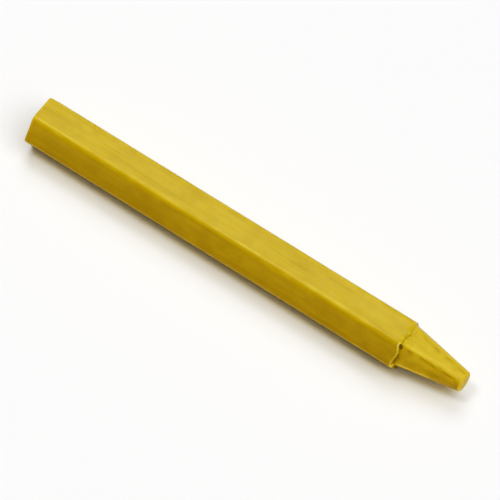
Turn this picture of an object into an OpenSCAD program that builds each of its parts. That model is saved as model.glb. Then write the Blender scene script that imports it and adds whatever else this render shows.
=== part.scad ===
// Marking-chalk stick: a hexagonal bar of wax-bound chalk, cast in one
// piece, with a blunt taper at the front.
// The stick lies on one of its flats along X, with the tip towards +X.
// The origin is in the middle of the footprint, on the surface it lies on.

/* [Body] */
// Width of the body across two opposite flats
flats_w = 12; // [12:0.1:14]
// Length of the whole stick, from the rear end to the end of the tip
stick_len = 120; // [80:5:150]
// Radius along the six long edges of the body
edge_r = 0.9; // [0.6:0.1:1.2]
// Depth of the bevel that eases the rim of the flat rear end
rear_bevel = 0.4; // [0.2:0.1:0.8]

/* [Tip] */
// Length of the taper in front of the shoulder
tip_len = 16.5; // [12:0.5:20]
// Width of the taper across flats where it leaves the shoulder
tip_w = 10.5; // [9:0.1:10.5]
// Radius of the taper's six ridges where it leaves the shoulder
tip_edge_r = 0.6; // [0.4:0.1:1]
// Diameter of the blunt round end
end_d = 5.25; // [4.5:0.25:7]
// Radius round the rim of the blunt end
end_r = 0.6; // [0.3:0.1:0.8]

/* [Casting marks] */
// How far the rim of flash stands forward of the shoulder
rim_h = 0.3; // [0.2:0.05:0.5]
// Thickness of the rim of flash
rim_t = 0.35; // [0.25:0.05:0.35]
// How far the root of the taper is off the body's axis, to the side
tip_off_y = 0.15; // [-0.25:0.05:0.25]
// How far the root of the taper is off the body's axis, upwards
tip_off_z = 0.1; // [-0.25:0.05:0.25]

/* [Hidden] */
body_len = stick_len - tip_len;
shoulder_x = stick_len / 2 - tip_len;
rear_x = -stick_len / 2;
axis_z = flats_w / 2;
// How deep the taper reaches back into the body, so that the two are one solid
root = 1;
// Steps in the rounding of the blunt end
end_steps = 4;

// A hexagon w across flats, with corners on the X axis and rounded to radius r
module round_hexagon(w, r) {
    c = w / sqrt(3) - r * 2 / sqrt(3);
    polygon([
        for (i = [0:5], s = [-30, 30])
            [c * cos(60 * i) + r * cos(60 * i + s), c * sin(60 * i) + r * sin(60 * i + s)]
    ]);
    for (i = [0:5])
        translate([c * cos(60 * i), c * sin(60 * i)]) circle(r = r, $fn = 48);
}

// Stands a profile up at x, with its height along +X and its flats level
module along_x(x) {
    translate([x, 0, axis_z]) rotate([90, 0, 90]) children();
}

// The six-sided bar. A six-sided pyramid that widens at 45 degrees from the
// rear end takes the bevel off its rim. At the front the bar runs on past the
// shoulder as the rim of flash left where the mould's tip piece met its tube,
// and the shoulder is the floor of the shallow recess inside that rim.
module body() {
    difference() {
        intersection() {
            along_x(rear_x)
                linear_extrude(height = body_len + rim_h) round_hexagon(flats_w, edge_r);
            along_x(rear_x)
                cylinder(
                    h = body_len + 1,
                    r1 = (flats_w / 2 - rear_bevel) / cos(30),
                    r2 = (flats_w / 2 - rear_bevel + body_len + 1) / cos(30),
                    $fn = 6
                );
        }
        along_x(shoulder_x)
            linear_extrude(height = rim_h + 1)
                round_hexagon(flats_w - 2 * rim_t, edge_r - rim_t);
    }
}

// The taper: six ridges at the shoulder, fading into a round blunt end. Its
// root is a little off the body's axis, and its end is on it.
module tip() {
    along_x(shoulder_x)
        hull() {
            translate([tip_off_y, tip_off_z, -root])
                linear_extrude(height = root) round_hexagon(tip_w, tip_edge_r);
            for (i = [0:end_steps])
                translate([0, 0, tip_len - end_r + end_r * sin(90 * i / end_steps) - 0.01])
                    cylinder(r = end_d / 2 - end_r + end_r * cos(90 * i / end_steps), h = 0.01, $fn = 48);
        }
}

module chalk_stick() {
    color("goldenrod") {
        body();
        tip();
    }
}

chalk_stick();
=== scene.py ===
"""A hexagonal stick of wax-bound marking chalk, seen as finished: the moulded body, the ragged rim of flash
round its shoulder, the blunt taper and the shaved rear end are one closed mesh that stands for the CAD solid.
Sizes inside the script are in millimetres until the mesh is made."""

import math

import bpy
import numpy as np
from mathutils import Matrix, Vector


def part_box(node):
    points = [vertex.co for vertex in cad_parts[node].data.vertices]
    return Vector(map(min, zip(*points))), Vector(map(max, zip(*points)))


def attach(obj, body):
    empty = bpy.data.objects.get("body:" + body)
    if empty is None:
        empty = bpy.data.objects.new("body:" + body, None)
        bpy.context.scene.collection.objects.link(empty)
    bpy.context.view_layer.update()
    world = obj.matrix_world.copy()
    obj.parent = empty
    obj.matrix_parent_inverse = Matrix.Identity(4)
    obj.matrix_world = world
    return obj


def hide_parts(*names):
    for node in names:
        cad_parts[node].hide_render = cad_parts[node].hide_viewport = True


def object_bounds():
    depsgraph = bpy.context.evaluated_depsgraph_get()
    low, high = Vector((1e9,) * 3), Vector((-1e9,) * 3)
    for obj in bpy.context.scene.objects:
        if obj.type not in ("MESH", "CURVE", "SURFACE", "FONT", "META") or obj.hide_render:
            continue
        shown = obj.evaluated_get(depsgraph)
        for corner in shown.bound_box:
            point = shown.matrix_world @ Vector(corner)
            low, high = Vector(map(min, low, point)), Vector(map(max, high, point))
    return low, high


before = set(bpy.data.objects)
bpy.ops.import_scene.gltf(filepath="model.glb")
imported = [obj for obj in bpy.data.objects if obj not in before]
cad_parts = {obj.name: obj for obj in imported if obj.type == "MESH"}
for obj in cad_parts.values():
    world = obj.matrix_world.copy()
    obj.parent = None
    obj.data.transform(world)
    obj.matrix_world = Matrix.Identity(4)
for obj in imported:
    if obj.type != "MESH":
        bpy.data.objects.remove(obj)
cad_lo, cad_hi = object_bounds()

# ---------------------------------------------------------------- sizes, from the CAD box
lo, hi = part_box("chalk_stick")
REAR, FRONT = lo.x * 1000, hi.x * 1000
FLATS = (hi.z - lo.z) * 1000
A = FLATS / 2
AXIS_Z = lo.z * 1000 + A
TIP_LEN = 16.5
SHOULDER = FRONT - TIP_LEN
EDGE_R = 0.9
TIP_A, TIP_R = 5.25, 1.05
END_A, END_R, END_ROUND = 2.625, 2.2, 0.6
TIP_OFF = np.array([0.15, 0.1])  # at the root of the taper; its end is on the axis
C30 = math.cos(math.radians(30))

PER = 44  # points to each of the six corners
N = 6 * PER


# ---------------------------------------------------------------- noise
def hashed(ix, iy, iz, seed):
    """A number from 0 to 1 for each lattice point, the same on every run."""
    n = (
        ix.astype(np.int64) * 73856093
        ^ iy.astype(np.int64) * 19349663
        ^ iz.astype(np.int64) * 83492791
        ^ (seed * 2654435761)
    )
    n = (n ^ (n >> 13)) & 0xFFFFFFFF
    n = (n * 1274126177) & 0xFFFFFFFF
    n = (n ^ (n >> 16)) & 0xFFFFFFFF
    n = (n * 668265263) & 0xFFFFFFFF
    n = (n ^ (n >> 15)) & 0xFFFFFFFF
    return n / 4294967295.0


def noise(x, y, z, seed):
    """Smooth noise from -1 to 1."""
    x, y, z = np.broadcast_arrays(np.asarray(x, float), y, z)
    fx, fy, fz = np.floor(x), np.floor(y), np.floor(z)
    tx, ty, tz = x - fx, y - fy, z - fz
    sx, sy, sz = (t * t * t * (t * (t * 6 - 15) + 10) for t in (tx, ty, tz))
    total = 0.0
    for dx in (0, 1):
        for dy in (0, 1):
            for dz in (0, 1):
                w = (sx if dx else 1 - sx) * (sy if dy else 1 - sy) * (sz if dz else 1 - sz)
                total = total + w * hashed(fx + dx, fy + dy, fz + dz, seed)
    return total * 2 - 1


def smooth(t):
    t = np.clip(t, 0, 1)
    return t * t * (3 - 2 * t)


# ---------------------------------------------------------------- cross-sections
def outline(a, r, arc_weight=2.6):
    """A rounded hexagon a from its middle to its flats, with corner radius r (one number, or one for each corner).
    Returns its N points, their outward normals, and where each lies: the corner coordinate u (whole at a corner,
    half way at the middle of a flat) and e, which runs from 0 at the middle of a flat to 1 where its corner begins."""
    r = np.broadcast_to(np.asarray(r, float), (6,))
    pts, nrm, flat = np.zeros((N, 2)), np.zeros((N, 2)), np.zeros(N)
    for k in range(6):
        rk = r[k]
        c = (a - rk) / C30
        arc = rk * math.pi / 3
        weight = c + arc_weight * arc
        m = ((np.arange(PER) + 0.5) / PER - 0.5) * weight
        half = arc_weight * arc / 2
        phi = math.radians(60 * k)
        centre = c * np.array([math.cos(phi), math.sin(phi)])
        turn = np.clip(m / half, -1, 1) * math.radians(30) + phi
        n = np.stack([np.cos(turn), np.sin(turn)], 1)
        p = centre + rk * n
        for side in (-1, 1):
            on = side * m > half
            d = (side * m[on] - half)[:, None]
            way = phi + side * math.radians(120)
            p[on] += d * np.array([math.cos(way), math.sin(way)])
            flat[k * PER + np.nonzero(on)[0]] = 1
        e = np.where(np.abs(m) > half, 1 - (np.abs(m) - half) / (c / 2), 1.0)
        sl = slice(k * PER, (k + 1) * PER)
        pts[sl], nrm[sl], flat[sl] = p, n, e
    return pts, nrm, flat


U = (np.arange(N) + 0.5) / PER - 0.5  # the corner coordinate, from -0.5 to 5.5
BODY_REF = outline(A, EDGE_R)[0]


def around(knots):
    """A smooth closed curve through (u, value) pairs, at each of the N points."""
    ks = sorted((u % 6, v) for u, v in knots)
    us = np.array([k[0] for k in ks])
    vs = np.array([k[1] for k in ks])
    us = np.concatenate([us[-2:] - 6, us, us[:2] + 6])
    vs = np.concatenate([vs[-2:], vs, vs[:2]])
    x = U % 6
    i = np.clip(np.searchsorted(us, x, side="right") - 1, 1, len(us) - 3)
    slopes = np.gradient(vs, us)
    h = us[i + 1] - us[i]
    t = (x - us[i]) / h
    return (
        (2 * t**3 - 3 * t**2 + 1) * vs[i]
        + (t**3 - 2 * t**2 + t) * h * slopes[i]
        + (3 * t**2 - 2 * t**3) * vs[i + 1]
        + (t**3 - t**2) * h * slopes[i + 1]
    )


# Corner 0 points along +Y, 1 is the rear upper ridge, 2 the front upper ridge, 3 points along -Y.
# Facet 1-2 is the top, 2-3 the front upper one, 4-5 the one it lies on.
LIP = around(
    [
        (0.00, -0.50), (0.22, -0.42), (0.45, -0.15), (0.70, 0.08), (0.88, 0.20),
        (1.00, 0.30), (1.10, 0.38), (1.22, 0.52), (1.32, 0.54), (1.40, 0.44), (1.49, 0.74), (1.60, 0.34), (1.72, 0.36), (1.80, 0.44), (1.88, 0.32),
        (1.95, 0.22), (2.04, 0.15), (2.14, 0.13), (2.22, 0.18), (2.32, 0.42), (2.41, 0.70), (2.51, 0.67), (2.65, 0.34),
        (2.76, 0.20), (2.86, 0.26), (2.93, 0.48), (2.99, 0.68), (3.05, 0.34), (3.13, -0.05), (3.40, -0.10), (3.65, 0.30), (3.90, 0.16),
        (4.00, 0.40), (4.15, 0.16), (4.45, 0.34), (4.75, 0.08), (5.00, 0.32), (5.20, 0.02), (5.50, 0.10), (5.80, -0.30),
    ]
)
LIP = LIP + 0.03 * noise(U * 9, 0, 0.5, 11)
RIM_T = 0.30 + 0.05 * noise(U * 3.2, 0, 0.5, 12) + 0.03 * noise(U * 10, 0, 0.5, 13)
GROOVE = 0.12 + 0.10 * smooth(0.5 + noise(U * 4.1, 0, 0.5, 14))


def bump_at(u0, width):
    """A smooth hump round corner coordinate u0, at each of the N points."""
    return np.exp(-((((U - u0 + 3) % 6 - 3) / width) ** 2))


# How open the recess is inside the flash: smeared shut along most of the top, where only small pits are left
OPEN = around(
    [
        (0.0, 0.3), (0.5, 0.2), (0.8, 0.2), (0.92, 0.08), (1.0, 0.04), (1.12, 0.0), (1.35, 0.0), (1.5, 0.0), (1.7, 0.0), (1.85, 0.0), (1.99, 0.05),
        (2.09, 0.62), (2.17, 1.0), (2.3, 0.9), (2.42, 0.5), (2.55, 0.95), (2.74, 0.95), (2.88, 0.6), (2.98, 0.15), (3.1, 0.0), (3.3, 0.05), (3.6, 0.3), (4.0, 0.9), (4.5, 0.5), (5.0, 0.9), (5.5, 0.5),
    ]
)
PITS = np.minimum(1.5 * bump_at(1.465, 0.042) + 0.55 * bump_at(1.655, 0.032) + 0.55 * bump_at(1.83, 0.030), 1)
OPEN = np.clip(OPEN + PITS, 0, 1)
GROOVE = GROOVE + 0.34 * bump_at(2.19, 0.11) + 0.30 * bump_at(2.66, 0.18) + 0.30 * PITS
# Where the recess also bites into the root of the taper
BITE = np.clip(0.95 * bump_at(2.235, 0.12) + 0.80 * bump_at(2.61, 0.12) + 0.45 * bump_at(2.80, 0.08) + 0.25 * bump_at(3.0, 0.06) + 0.3 * PITS + 0.4 * bump_at(5.2, 0.2), 0, 1)
# The flash is a thick bead that stands a little proud of the flats
BEAD = around(
    [
        (0.0, 0.01), (0.2, 0.05), (0.5, 0.07), (0.8, 0.04), (1.0, 0.01), (1.2, 0.0), (1.5, 0.0), (1.8, 0.01), (1.90, 0.06), (2.00, 0.15),
        (2.15, 0.18), (2.4, 0.13), (2.6, 0.13), (2.8, 0.10), (2.92, 0.05), (3.0, 0.02), (3.1, 0.05), (3.4, 0.08), (3.7, 0.05), (4.0, 0.01),
        (4.2, 0.0), (4.5, 0.0), (4.8, 0.0), (5.0, 0.01), (5.2, 0.05), (5.5, 0.09), (5.8, 0.05),
    ]
)
# Where wax has been smeared over the step, so that it runs out gently onto the taper
SMEARED = np.clip(1.2 * bump_at(1.27, 0.12) + 1.2 * bump_at(1.575, 0.055) + 1.1 * bump_at(1.74, 0.055) + 0.8 * bump_at(1.90, 0.04), 0, 1) * (1 - PITS) ** 2
PALE = np.clip(0.45 + 0.55 * smooth((U - 1.86) / 0.1) * smooth((3.2 - U) / 0.2) - 0.30 * smooth((U - 1.05) / 0.1) * smooth((1.86 - U) / 0.05), 0, 1)
# Painted highlight along the front upper ridge, partly paler rubbed wax; painted shade that darkens the side facets
# towards the widest corners
RIDGE_WEAR_AND_HIGHLIGHT = 0.95 * bump_at(1.92, 0.08)
PAINTED_SHADE = 0.62 * np.clip(np.clip((U - 1.97) / 0.95, 0, 1) ** 0.85 * np.clip((4.03 - U) / 0.95, 0, 1) + np.clip((U - 4.97) / 0.95, 0, 1) + np.clip((1.03 - U) / 0.95, 0, 1) * (U < 1.1), 0, 1)
RIDGES = np.exp(-((((U + 0.5) % 1 - 0.5) / 0.075) ** 2))

# ---------------------------------------------------------------- surface marks
# (x, corner, half length, depth): places where an edge has been knocked
KNOCKS = [
    (-52.6, 2.02, 0.9, 0.11), (-37.2, 0.98, 0.8, 0.08), (-8.4, 3.03, 0.7, 0.09), (21.6, 1.97, 0.5, 0.045),
    (-24.5, -0.03, 0.9, 0.10), (30.8, 4.98, 0.8, 0.08), (-43.9, 4.02, 1.0, 0.09), (8.8, 1.02, 0.5, 0.05),
    (37.6, 3.0, 0.4, 0.06), (-30.2, 2.0, 0.4, 0.04),
]


def inward(x, pts, e, u, ref):
    """How far the real surface lies inside the plain form, at stations x. The argument pts is not used."""
    y, z = ref[:, 0], ref[:, 1]
    sink = 0.05 * (1 - e * e) ** 2 * (0.75 + 0.45 * noise(x / 19, y / 7, z / 7, 21))
    swell = 0.022 * (0.5 + 0.5 * noise(x / 8.5, y / 3.1, z / 3.1, 22))
    drag = 0.010 * (0.5 + 0.5 * noise(x / 33, y / 0.75, z / 0.75, 23))
    drag = drag + 0.006 * (0.5 + 0.5 * noise(x / 14, y / 0.33, z / 0.33, 24))
    d = sink + swell + drag
    for kx, ku, half, depth in KNOCKS:
        du = (u - ku + 3) % 6 - 3
        near = np.exp(-(((x - kx) / half) ** 2) * 1.6 - (du / 0.075) ** 2)
        if np.max(near) > 0.01:
            d = d + depth * near * (1 + 0.5 * noise(x * 2.2, y * 2.2, z * 2.2, 25))
    return d


def edge_radius(x):
    """The radius of each of the body's long edges at x."""
    k = np.arange(6) * 7.3 + 0.5
    worn = np.array([1.14, 1.14, 2.35, 1.14, 1.14, 1.35])
    return EDGE_R * (worn + 0.09 * noise(x / 21.0, k, 0.5, 31) + 0.05 * noise(x / 6.0, k, 0.5, 32))


rows = []  # each: position (N, 3), wear, painted recess shade, grain (N, 3), tone


def add_row(x, p, wear=0.0, recess_shade=0.0, grain=None, tone=0.0):
    pos = np.empty((N, 3))
    pos[:, 0] = x
    pos[:, 1] = p[:, 0]
    pos[:, 2] = p[:, 1] + AXIS_Z
    if grain is None:
        grain = np.empty((N, 3))
        grain[:, 0] = x
        grain[:, 1:] = BODY_REF
    rows.append((pos, np.broadcast_to(wear, (N,)).copy(), np.broadcast_to(recess_shade, (N,)).copy(), grain, np.broadcast_to(tone, (N,)).copy()))


def body_row(x, inset=0.0, wear=0.0, recess_shade=0.0):
    """A ring of the body. x may differ round the ring, and inset is how far inside the plain outline it lies."""
    xm = float(np.mean(x))
    p, n, e = outline(A, edge_radius(xm))
    d = inward(np.asarray(x, float), p, e, U, BODY_REF) + inset
    rubbed = 0.30 * RIDGES * smooth(0.55 + 0.8 * noise(xm / 5.5, np.round(U) * 3.1, 0.5, 33))
    y, z = BODY_REF[:, 0], BODY_REF[:, 1]
    # random patches, less the painted shade towards the widest corners, plus the painted highlight along the front
    # upper ridge
    patches_and_painted_light = 0.16 * noise(xm / 2.4, y / 1.5, z / 1.5, 37) + 0.14 * noise(xm / 13, y / 0.8, z / 0.8, 38) - PAINTED_SHADE
    patches_and_painted_light = patches_and_painted_light + RIDGE_WEAR_AND_HIGHLIGHT * (0.50 + 0.75 * noise(xm / 3.8, 0.5, 0.5, 39) + 0.35 * noise(xm / 1.6, 0.5, 0.5, 40))
    add_row(x, p - n * np.asarray(d)[:, None], np.maximum(wear, rubbed), recess_shade, tone=patches_and_painted_light)


# ---- rear end: the shaved face, then its eased rim
CAP_STEPS = [0.0, 0.05, 0.12, 0.20, 0.28, 0.36, 0.44, 0.52, 0.60, 0.68, 0.76, 0.84, 0.91, 0.96, 1.0]


def rear_face(s):
    a = (A - 0.34) * s
    p, n, e = outline(max(a, 1e-3), np.maximum((edge_radius(REAR) - 0.36) * s, 1e-4))
    y, z = p[:, 0], p[:, 1]
    turned = (y * 0.94 + z * 0.34, z * 0.94 - y * 0.34)
    scrape = 0.012 * noise(turned[0] / 7, turned[1] / 0.42, 0.5, 41) + 0.02 * noise(turned[0] / 12, turned[1] / 1.6, 0.5, 42)
    dish = 0.10 * (1 - s) ** 1.5 * (0.7 + 0.3 * noise(y / 2.5, z / 2.5, 0.5, 43))
    x = REAR + 0.034 + dish + scrape * smooth((1 - s) * 8 + 0.2)
    grain = np.stack([turned[0], turned[1], np.full(N, 37.0)], 1)
    add_row(x, p, wear=0.15 + 0.5 * smooth((s - 0.85) / 0.15), grain=grain)


for s in CAP_STEPS[1:]:
    rear_face(s)
for inset, dx, w in ((0.27, 0.006, 0.8), (0.19, 0.02, 1.0), (0.12, 0.06, 0.9), (0.06, 0.13, 0.7), (0.02, 0.24, 0.4), (0.0, 0.40, 0.2)):
    jag = 0.03 * noise(U * 6, 0, 0.5, 44)
    body_row(REAR + dx + np.abs(jag) * (0.3 + dx), inset + np.abs(jag), wear=w)

# ---- body
start, stop = REAR + 0.7, SHOULDER - 2.15
fine = np.linspace(start, stop, 4000)
density = np.full_like(fine, 1 / 0.95)
for kx, ku, half, depth in KNOCKS:
    density = np.maximum(density, np.where(np.abs(fine - kx) < half * 1.7, 1 / 0.22, 0))
density = np.convolve(np.pad(density, 40, mode="edge"), np.ones(81) / 81, mode="valid")
total = np.concatenate([[0], np.cumsum((density[1:] + density[:-1]) / 2 * np.diff(fine))])
for x in np.interp(np.linspace(0, total[-1], int(round(total[-1])) + 1), total, fine):
    body_row(np.full(N, x))

# ---- shoulder: over the crest of the flash, down into the recess and out to the taper
CREST = SHOULDER + LIP
FLOOR = (CREST + 0.04) * (1 - OPEN) + (np.minimum(SHOULDER - 0.02, CREST - 0.08) - GROOVE) * OPEN
FOOT = (CREST + 0.34 + 0.60 * SMEARED) * (1 - OPEN) + (np.maximum(SHOULDER + 0.05 + 1.10 * BITE, CREST + 0.12) + 0.45 * PITS) * OPEN


def between(x, inset, m, x_tip, wear=0.0, recess_shade=0.0):
    """A ring part of the way from the rim's inner wall to the foot of the taper."""
    p, n, e = outline(A, edge_radius(SHOULDER))
    inner = p - n * np.asarray(inset)[:, None]
    q = tip_points(x_tip, at=SHOULDER)
    m = np.broadcast_to(m, (N,))[:, None]
    add_row(x, inner * (1 - m) + q * m, wear, recess_shade)


def tip_form(x):
    """Half width and ridge radius of the taper at x."""
    t = np.clip((x - SHOULDER) / (TIP_LEN - END_ROUND), -0.1, 1)
    return TIP_A + (END_A - TIP_A) * t, TIP_R + (END_R - TIP_R) * np.clip(t, 0, 1) ** 1.3


SCORES_AND_PAINTED_LIGHT = (  # (u at the start, u at the end, width, depth, tone, from, to): marks drawn along the taper when it left the mould, and tone-only lines of painted highlight and painted shade
    (2.205, 2.21, 0.070, 0.045, -0.85, 0.9, 4.2), (2.215, 2.235, 0.070, 0.055, -1.00, 4.7, 10.4), (2.235, 2.25, 0.075, 0.055, -1.00, 10.5, 15.6),
    # the pale tone-only lines near u 1.8 are a painted highlight along the taper's front upper ridge
    (1.86, 1.86, 0.070, 0.00, 0.75, 0.0, 1.9), (1.84, 1.82, 0.085, 0.00, 0.55, 1.9, 4.3), (1.84, 1.83, 0.080, 0.00, 0.50, 4.2, 6.6), (1.80, 1.79, 0.09, 0.00, 0.30, 6.6, 8.6), (1.78, 1.78, 0.09, 0.00, 0.30, 9.3, 11.0), (1.80, 1.80, 0.10, 0.00, 0.30, 11.0, 13.6), (1.24, 1.36, 0.060, 0.030, -0.75, 3.0, 9.6), (1.56, 1.57, 0.09, 0.00, 0.20, 9.6, 12.4),
    (1.34, 1.30, 0.070, 0.020, -0.80, 9.4, 13.2), (1.33, 1.33, 0.070, 0.020, -0.85, 13.2, 16.6),
    (2.42, 2.40, 0.080, 0.00, 0.32, 2.5, 9.5), (2.58, 2.56, 0.060, 0.020, -0.20, 3.0, 12.5),
    # the pale tone-only lines near u 2.87 are a painted highlight along the taper's lower edge; the dark tone-only
    # lines on the next line are painted shade towards the taper's end
    (2.74, 2.73, 0.060, 0.020, -0.25, 1.8, 5.5), (2.88, 2.88, 0.080, 0.00, 2.80, 0.0, 9.8), (2.86, 2.84, 0.060, 0.00, 0.70, 9.2, 13.6),
    (2.96, 2.96, 0.110, 0.00, -1.40, 10.6, 17.6), (2.76, 2.74, 0.140, 0.00, -0.90, 13.6, 17.6), (2.40, 2.38, 0.140, 0.00, -0.35, 14.2, 17.6),
    (0.35, 0.40, 0.045, 0.043, -0.25, 1.0, 11.0), (0.70, 0.66, 0.040, 0.036, -0.19, 2.0, 9.0), (3.50, 3.55, 0.045, 0.043, -0.25, 1.0, 13.0),
    (3.80, 3.74, 0.040, 0.036, 0.19, 3.0, 10.0), (4.40, 4.44, 0.045, 0.036, -0.25, 2.0, 12.0), (5.30, 5.24, 0.045, 0.043, -0.31, 1.0, 14.0),
)


def scores_and_painted_light(x):
    """How deep the drawn marks are round the ring at x, and their tone, which includes painted highlight and painted
    shade.
    """
    deep, tint = np.zeros(N), np.zeros(N)
    for u0, u1, width, depth, tint_of, x0, x1 in SCORES_AND_PAINTED_LIGHT:
        v = x - SHOULDER
        u = u0 + (u1 - u0) * np.clip((v - x0) / (x1 - x0), 0, 1) + 0.012 * noise(x / 4, u0 * 5, 0.5, 55)
        along = smooth((v - x0) / 1.1) * smooth((x1 - v) / 1.5) * (0.80 + 0.45 * noise(x / 1.7, u0 * 9, 0.5, 58))
        line = along * np.exp(-((((U - u + 3) % 6 - 3) / width) ** 2))
        deep = deep + depth * line
        tint = tint + tint_of * line
    return deep, tint


def tip_points(x, inset=0.0, at=None):
    """The taper's ring at x, inset from the plain form. x may differ round the ring, about the station at."""
    xm = float(np.mean(x)) if at is None else float(at)
    a, r = tip_form(xm)
    t = np.clip((xm - SHOULDER) / TIP_LEN, 0, 1)
    k = np.arange(6) * 5.1 + 0.5
    radii = np.minimum(r * (1 + 0.10 * noise(xm / 5.0, k, 0.5, 51)), a - 0.3)
    p, n, e = outline(a - inset, np.maximum(radii - inset, 0.25))
    y, z = BODY_REF[:, 0], BODY_REF[:, 1]
    d = 0.035 * (1 - e * e) ** 2 * (0.6 + 0.6 * noise(xm / 6, y / 6, z / 6, 52)) * (1 - 0.6 * t)
    d = d + 0.030 * (0.5 + 0.5 * noise(xm / 3.5, y / 2.4, z / 2.4, 53))
    d = d + 0.026 * (0.5 + 0.5 * noise(xm / 16, y / 0.62, z / 0.62, 54))
    d = d + scores_and_painted_light(xm)[0]
    slope = (END_A - TIP_A) / (TIP_LEN - END_ROUND)
    d = d - slope * (np.asarray(x, float) - xm)
    return p - n * d[:, None] + TIP_OFF * (1 - t)


BLOB = 0.55 * bump_at(2.98, 0.07) + 0.30 * bump_at(2.08, 0.20) - 0.40 * bump_at(2.68, 0.18)
LAST = 0.28 + 0.24 * bump_at(0.1, 0.5) + 0.10 * bump_at(3.3, 0.25) + 0.22 * SMEARED  # radius over the crest of the flash
for back in (1.3, 1.08, 0.92, 0.8, 0.7, 0.6, 0.51, 0.42, 0.34, 0.27, 0.21, 0.15, 0.10, 0.06, 0.028, 0.008):
    proud = BEAD * float(smooth((0.74 - back) / 0.36)) - 0.22 * BEAD * math.exp(-(((back - 0.9) / 0.16) ** 2))
    over = LAST - np.sqrt(np.maximum(LAST**2 - np.maximum(LAST - back, 0) ** 2, 0))
    over = over * (1 - SMEARED) + 0.62 * SMEARED * max(0.0, 1 - back / 1.2) ** 1.35
    body_row(CREST - back, over - proud, wear=(PALE + BLOB) * float(smooth((0.66 - back) / 0.32)))
TOP_IN = np.maximum(LAST, over) + 0.01
RIM = np.maximum(RIM_T, TOP_IN + 0.01 + 0.02 * OPEN)
SLIT = 0.008 + 0.052 * OPEN
edge = inward(CREST, None, outline(A, EDGE_R)[2], U, BODY_REF) - BEAD
between(CREST, edge + TOP_IN, 0.0, SHOULDER, wear=PALE + BLOB)
between(CREST - 0.03 * OPEN + 0.009 * (1 - OPEN), edge + RIM, 0.0, SHOULDER, wear=PALE * 0.7)
between(CREST * 0.55 + FLOOR * 0.45, edge + RIM + 0.5 * SLIT, 0.0, SHOULDER, wear=PALE * 0.2, recess_shade=0.4 * OPEN)
between(FLOOR + 0.03 * OPEN - 0.01 * (1 - OPEN), edge + RIM + 0.8 * SLIT, 0.0, SHOULDER, recess_shade=0.9 * OPEN)
between(FLOOR, edge + RIM + SLIT, 0.22 + 0.3 * SMEARED, SHOULDER, recess_shade=OPEN)
between(FLOOR + 0.01 + (FOOT - FLOOR) * 0.10 * (1 - OPEN), edge + RIM + SLIT, 0.5 + 0.3 * BITE + 0.2 * SMEARED, SHOULDER, recess_shade=OPEN)
between(FLOOR + (FOOT - FLOOR) * 0.35, edge + RIM + SLIT, 0.8 + 1.15 * BITE + 0.05 * SMEARED, SHOULDER, recess_shade=0.95 * OPEN)
between(FLOOR + (FOOT - FLOOR) * 0.70, edge + RIM + SLIT, 0.95 + 1.00 * BITE, SHOULDER, recess_shade=0.8 * OPEN * (0.5 + 0.5 * BITE))
between(FLOOR + (FOOT - FLOOR) * 0.90, edge + RIM + SLIT, 1.0 + 0.35 * BITE, SHOULDER, recess_shade=0.55 * OPEN * (0.4 + 0.6 * BITE))
between(FOOT, edge + RIM + SLIT, 1.0, FOOT, recess_shade=0.35 * OPEN * (0.4 + 0.6 * BITE))

# ---- taper
first, last = SHOULDER + 0.26, FRONT - END_ROUND
for x in np.concatenate([[SHOULDER + 0.1], np.linspace(first, last, 64)]):
    xs = x + (FOOT - SHOULDER) * max(0.0, 1 - (x - SHOULDER) / 3.5)
    near = float(np.clip(1 - (x - SHOULDER) / 0.7, 0, 1))
    rubbed = 0.35 * RIDGES * smooth(0.4 + 1.2 * noise(x / 2.6, np.round(U) * 3.1, 0.5, 34))
    # random patches, less a stronger painted shade towards the widest corners, lightened by a fixed amount over the
    # whole taper
    patches_and_painted_light = 0.26 * noise(x / 1.5, BODY_REF[:, 0] / 1.1, BODY_REF[:, 1] / 1.1, 35) + 0.20 * noise(x / 6, BODY_REF[:, 0] / 0.7, BODY_REF[:, 1] / 0.7, 36) - 1.30 * PAINTED_SHADE + 0.16
    add_row(xs, tip_points(xs, at=x), wear=rubbed + 0.18, recess_shade=0.3 * near * OPEN * (0.4 + 0.6 * BITE), tone=scores_and_painted_light(x)[1] + patches_and_painted_light)
for i in range(1, 11):
    b = math.radians(90 * i / 10)
    x = last + END_ROUND * math.sin(b)
    worn = 0.03 * noise(U * 4, i * 0.4, 0.5, 56)
    add_row(
        x - np.abs(worn) * math.sin(b),
        tip_points(np.full(N, last), END_ROUND * (1 - math.cos(b)) + 0.02),
        wear=0.25 + 0.35 * math.sin(b) * math.cos(b) * 2,
    )
tip_end = rows[-1][0].copy()
middle = np.array([0, 0, AXIS_Z])
for s in CAP_STEPS[::-1][1:-1]:
    pos = tip_end.copy()
    pos[:, 1:] = middle[1:] + (tip_end[:, 1:] - middle[1:]) * s
    dish = 0.05 * smooth((1 - s) * 1.6)
    grit = 0.018 * noise(pos[:, 1] / 0.8, pos[:, 2] / 0.8, 0.5, 57)
    x = tip_end[:, 0] - dish - (grit + 0.018) * smooth((1 - s) * 5)
    grain = np.stack([pos[:, 1] * 0.3, pos[:, 2], np.full(N, 71.0)], 1)
    rows.append((np.column_stack([x, pos[:, 1:]]), np.full(N, 0.2), np.zeros(N), grain, 0.5 * noise(pos[:, 1], pos[:, 2], 0.5, 59) - 0.15))

# ---------------------------------------------------------------- the mesh
co = np.concatenate([r[0] for r in rows])
wear = np.concatenate([r[1] for r in rows])
recess_shade = np.concatenate([r[2] for r in rows])
grain = np.concatenate([r[3] for r in rows])
tone = np.concatenate([r[4] for r in rows])
R = len(rows)
rear_mid = rows[0][0].mean(0)
front_mid = rows[-1][0].mean(0)
co = np.vstack([co, rear_mid, front_mid])
wear = np.append(wear, [wear[0], wear[-1]])
recess_shade = np.append(recess_shade, [0, 0])
tone = np.append(tone, [0, 0])
grain = np.vstack([grain, rows[0][3].mean(0), rows[-1][3].mean(0)])
# nothing stands outside the CAD box
co[:, 0] = np.clip(co[:, 0], REAR, FRONT)
co[:, 1] = np.clip(co[:, 1], lo.y * 1000, hi.y * 1000)
co[:, 2] = np.clip(co[:, 2], lo.z * 1000, hi.z * 1000)

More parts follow.
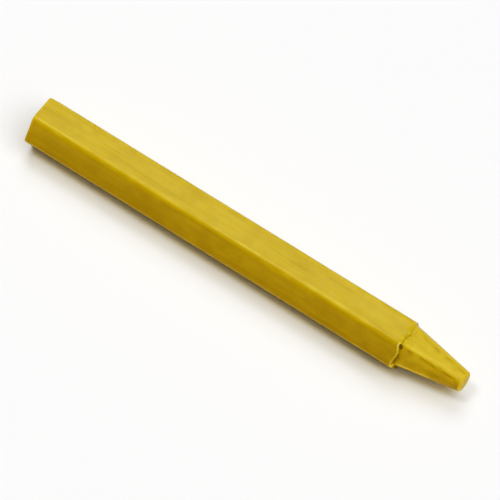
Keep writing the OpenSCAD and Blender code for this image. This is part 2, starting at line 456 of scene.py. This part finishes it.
j = np.arange(N)
jn = (j + 1) % N
quads = [np.stack([i * N + j, i * N + jn, (i + 1) * N + jn, (i + 1) * N + j], 1) for i in range(R - 1)]
quads = np.concatenate(quads)
rear_fan = np.stack([np.full(N, R * N), jn, j], 1)
front_fan = np.stack([np.full(N, R * N + 1), (R - 1) * N + j, (R - 1) * N + jn], 1)
mesh = bpy.data.meshes.new("chalk_stick_finished")
loops = np.concatenate([quads.ravel(), rear_fan.ravel(), front_fan.ravel()])
sizes = np.concatenate([np.full(len(quads), 4), np.full(2 * N, 3)])
mesh.vertices.add(len(co))
mesh.vertices.foreach_set("co", (co / 1000).astype(np.float32).ravel())
mesh.loops.add(len(loops))
mesh.loops.foreach_set("vertex_index", loops.astype(np.int32))
mesh.polygons.add(len(sizes))
mesh.polygons.foreach_set("loop_start", np.concatenate([[0], np.cumsum(sizes)[:-1]]).astype(np.int32))
mesh.update(calc_edges=True)
mesh.validate()
mesh.polygons.foreach_set("use_smooth", np.ones(len(sizes), bool))
for name, values in (("wear", wear), ("recess_shade", recess_shade), ("tone", tone)):
    att = mesh.attributes.new(name, "FLOAT", "POINT")
    att.data.foreach_set("value", values.astype(np.float32))
att = mesh.attributes.new("grain", "FLOAT_VECTOR", "POINT")
att.data.foreach_set("vector", grain.astype(np.float32).ravel())
stick = bpy.data.objects.new("stick_finished", mesh)
bpy.context.scene.collection.objects.link(stick)
print("triangles", len(quads) * 2 + 2 * N, "rows", R)


# ---------------------------------------------------------------- the material
class Nodes:
    """Short helpers for one node tree."""

    def __init__(self, name):
        self.mat = bpy.data.materials.new(name)
        self.mat.use_nodes = True
        self.t = self.mat.node_tree
        self.t.nodes.clear()
        self.out = self.t.nodes.new("ShaderNodeOutputMaterial")
        self.bsdf = self.t.nodes.new("ShaderNodeBsdfPrincipled")
        self.link(self.bsdf.outputs[0], self.out.inputs["Surface"])

    def link(self, a, b):
        self.t.links.new(a, b)

    def node(self, kind, **inputs):
        n = self.t.nodes.new(kind)
        for key, v in inputs.items():
            self.put(n, key, v)
        return n

    def put(self, n, key, v):
        socket = n.inputs[key]
        if isinstance(v, bpy.types.NodeSocket):
            self.link(v, socket)
        else:
            socket.default_value = v

    def attribute(self, name):
        n = self.t.nodes.new("ShaderNodeAttribute")
        n.attribute_name = name
        return n

    def scaled(self, vector, scale, shift=(0, 0, 0)):
        n = self.t.nodes.new("ShaderNodeMapping")
        self.put(n, "Vector", vector)
        n.inputs["Scale"].default_value = scale
        n.inputs["Location"].default_value = shift
        return n.outputs[0]

    def noise(self, vector, scale, detail=2.0, rough=0.5, distortion=0.0):
        n = self.t.nodes.new("ShaderNodeTexNoise")
        self.put(n, "Vector", vector)
        n.inputs["Scale"].default_value = scale
        n.inputs["Detail"].default_value = detail
        n.inputs["Roughness"].default_value = rough
        n.inputs["Distortion"].default_value = distortion
        return n.outputs["Fac"]

    def ramp(self, v, a, b, to_a=0.0, to_b=1.0, kind="SMOOTHSTEP"):
        n = self.t.nodes.new("ShaderNodeMapRange")
        n.interpolation_type = kind
        self.put(n, 0, v)
        for i, x in enumerate((a, b, to_a, to_b)):
            n.inputs[1 + i].default_value = x
        return n.outputs[0]

    def math(self, op, a, b=0.0, clamp=False):
        n = self.t.nodes.new("ShaderNodeMath")
        n.operation = op
        n.use_clamp = clamp
        self.put(n, 0, a)
        self.put(n, 1, b)
        return n.outputs[0]

    def mix(self, fac, a, b):
        n = self.t.nodes.new("ShaderNodeMix")
        n.data_type = "RGBA"
        n.clamp_factor = True
        self.put(n, 0, fac)
        for i, v in ((6, a), (7, b)):
            if isinstance(v, bpy.types.NodeSocket):
                self.link(v, n.inputs[i])
            else:
                n.inputs[i].default_value = (*v, 1)
        return n.outputs[2]

    def bump(self, height, distance, strength=1.0, normal=None):
        n = self.t.nodes.new("ShaderNodeBump")
        n.inputs["Strength"].default_value = strength
        n.inputs["Distance"].default_value = distance
        self.put(n, "Height", height)
        if normal is not None:
            self.put(n, "Normal", normal)
        return n.outputs[0]


def chalk_material():
    m = Nodes("waxy_chalk")
    place = m.scaled(m.t.nodes.new("ShaderNodeTexCoord").outputs["Object"], (1000, 1000, 1000))
    flow = m.attribute("grain").outputs["Vector"]
    wear = m.attribute("wear").outputs["Fac"]
    recess_shade = m.attribute("recess_shade").outputs["Fac"]
    tone = m.attribute("tone").outputs["Fac"]

    cloud = m.noise(place, 0.13, 3.0, 0.5)
    mottle = m.noise(place, 0.9, 5.0, 0.62)
    fleck = m.noise(place, 6.0, 2.0, 0.5)
    streak = m.noise(m.scaled(flow, (0.045, 1.5, 1.5)), 1.0, 4.0, 0.6)
    fine_streak = m.noise(m.scaled(flow, (0.16, 5.5, 5.5), (3, 7, 1)), 1.0, 3.0, 0.6)

    base = m.mix(m.ramp(cloud, 0.3, 0.7), (0.580, 0.415, 0.008), (0.610, 0.440, 0.010))
    base = m.mix(m.ramp(mottle, 0.35, 0.75, 0.0, 0.55), base, (0.650, 0.475, 0.018))
    base = m.mix(m.ramp(streak, 0.46, 0.74, 0.0, 0.60), base, (0.490, 0.350, 0.008))
    base = m.mix(m.ramp(fleck, 0.66, 0.80, 0.0, 0.30), base, (0.400, 0.255, 0.006))
    base = m.mix(m.ramp(fleck, 0.34, 0.22, 0.0, 0.35), base, (0.740, 0.580, 0.090))
    # negative tone darkens and positive tone lightens; besides random patches and drawn marks it carries painted shade
    # and painted highlight
    base = m.mix(m.ramp(tone, 0.0, -1.0, 0.0, 0.9, "LINEAR"), base, (0.390, 0.260, 0.003))
    base = m.mix(m.ramp(tone, 0.0, 1.0, 0.0, 0.9, "LINEAR"), base, (0.760, 0.570, 0.050))
    scuffed = m.math("MULTIPLY", wear, m.ramp(m.noise(place, 2.6, 4.0, 0.65), 0.30, 0.62))
    base = m.mix(m.math("MULTIPLY", scuffed, 0.65), base, (0.870, 0.625, 0.080))
    base = m.mix(m.ramp(wear, 1.0, 1.8, 0.0, 0.8), base, (0.850, 0.740, 0.380))
    # painted shade in the recess inside the flash and at the root of the taper
    base = m.mix(m.math("MULTIPLY", recess_shade, 0.45), base, (0.300, 0.185, 0.004))
    m.put(m.bsdf, "Base Color", base)

    rough = m.math("ADD", m.ramp(mottle, 0.3, 0.75, 0.40, 0.54), m.math("MULTIPLY", scuffed, 0.14))
    rough = m.math("ADD", rough, m.ramp(streak, 0.35, 0.75, -0.04, 0.06))
    m.put(m.bsdf, "Roughness", rough)
    b = m.bsdf.inputs
    b["IOR"].default_value = 1.45
    b["Specular IOR Level"].default_value = 0.5
    b["Subsurface Weight"].default_value = 0.5
    b["Subsurface Radius"].default_value = (1.0, 0.7, 0.2)
    b["Subsurface Scale"].default_value = 0.003

    n = m.bump(m.noise(place, 0.55, 3.0, 0.5), 0.00006, 0.5)
    n = m.bump(streak, 0.00005, 0.5, n)
    n = m.bump(fine_streak, 0.000014, 0.6, n)
    n = m.bump(m.noise(place, 5.5, 5.0, 0.6), 0.000014, 0.6, n)
    m.put(m.bsdf, "Normal", n)
    return m.mat


mesh.materials.append(chalk_material())
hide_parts("chalk_stick")
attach(stick, "root")


# ---------------------------------------------------------------- floor, light, camera
def floor_material():
    m = Nodes("pale_floor")
    m.bsdf.inputs["Base Color"].default_value = (0.95, 0.95, 0.95, 1)
    m.bsdf.inputs["Roughness"].default_value = 0.75
    m.bsdf.inputs["Specular IOR Level"].default_value = 0.2
    return m.mat


size = 3.0
floor_mesh = bpy.data.meshes.new("floor")
floor_mesh.from_pydata([(-size, -size, 0), (size, -size, 0), (size, size, 0), (-size, size, 0)], [], [(0, 1, 2, 3)])
floor_mesh.materials.append(floor_material())
floor = bpy.data.objects.new("floor", floor_mesh)
floor.location.z = lo.z
bpy.context.scene.collection.objects.link(floor)


def sun(name, toward, strength, angle, colour=(1, 1, 1)):
    data = bpy.data.lights.new(name, "SUN")
    data.energy = strength
    data.angle = math.radians(angle)
    data.color = colour
    ob = bpy.data.objects.new(name, data)
    ob.rotation_euler = Vector(toward).normalized().to_track_quat("Z", "Y").to_euler()
    bpy.context.scene.collection.objects.link(ob)
    return ob


sun("key", (0.48, -0.06, 0.87), 1.50, 54, (1.0, 0.99, 0.97))
sun("ridge", (-0.25, -0.20, 0.95), 0.75, 18, (1.0, 0.99, 0.97))
sun("sheen", (-0.25, 0.46, 0.85), 0.85, 34, (0.97, 0.99, 1.06))

world = bpy.data.worlds.new("studio")
world.use_nodes = True
background = world.node_tree.nodes["Background"]
background.inputs["Color"].default_value = (1.0, 0.985, 0.96, 1)
background.inputs["Strength"].default_value = 0.16
bpy.context.scene.world = world
view = bpy.context.scene.view_settings
view.view_transform = "Standard"
view.look = "None"
# a print-like curve: shadows a little deeper, the rest as it is
view.use_curve_mapping = True
curve = view.curve_mapping.curves[3]
for x, y in ((0.03, 0.004), (0.07, 0.034), (0.12, 0.072), (0.25, 0.187), (0.36, 0.330), (0.46, 0.452), (0.62, 0.622)):
    curve.points.new(x, y)
view.curve_mapping.update()

# The camera looks down at the side towards -Y from the tip's end, rolled so that the stick runs down to the right.
SIDE = 500
lean, rise = math.radians(14.5), math.radians(61.7)
back = Vector((math.sin(lean), -math.cos(lean) * math.cos(rise), math.cos(lean) * math.sin(rise)))
right0 = (-back).cross(Vector((0, 0, 1))).normalized()
up0 = right0.cross(-back)
slope = math.atan2(Vector((1, 0, 0)).dot(up0), Vector((1, 0, 0)).dot(right0))
roll = slope + math.radians(31.7)
right = right0 * math.cos(roll) + up0 * math.sin(roll)
up = up0 * math.cos(roll) - right0 * math.sin(roll)
corners = [Vector((x, y, z)) for x in (cad_lo.x, cad_hi.x) for y in (cad_lo.y, cad_hi.y) for z in (cad_lo.z, cad_hi.z)]
spread = [[v.dot(a) for v in corners] for a in (right, up)]
mid = [(min(s) + max(s)) / 2 for s in spread]
extent = max(max(s) - min(s) for s in spread)
target = right * mid[0] + up * mid[1]
distance = 1.1
cam_data = bpy.data.cameras.new("camera")
cam_data.sensor_width = 36
cam_data.lens = 36 * distance / (extent * SIDE / 458)
cam = bpy.data.objects.new("camera", cam_data)
cam.matrix_world = Matrix.Translation(target + back * distance) @ Matrix((right, up, back)).transposed().to_4x4()
cam_data.clip_start, cam_data.clip_end = 0.05, 20
bpy.context.scene.collection.objects.link(cam)
bpy.context.scene.camera = cam
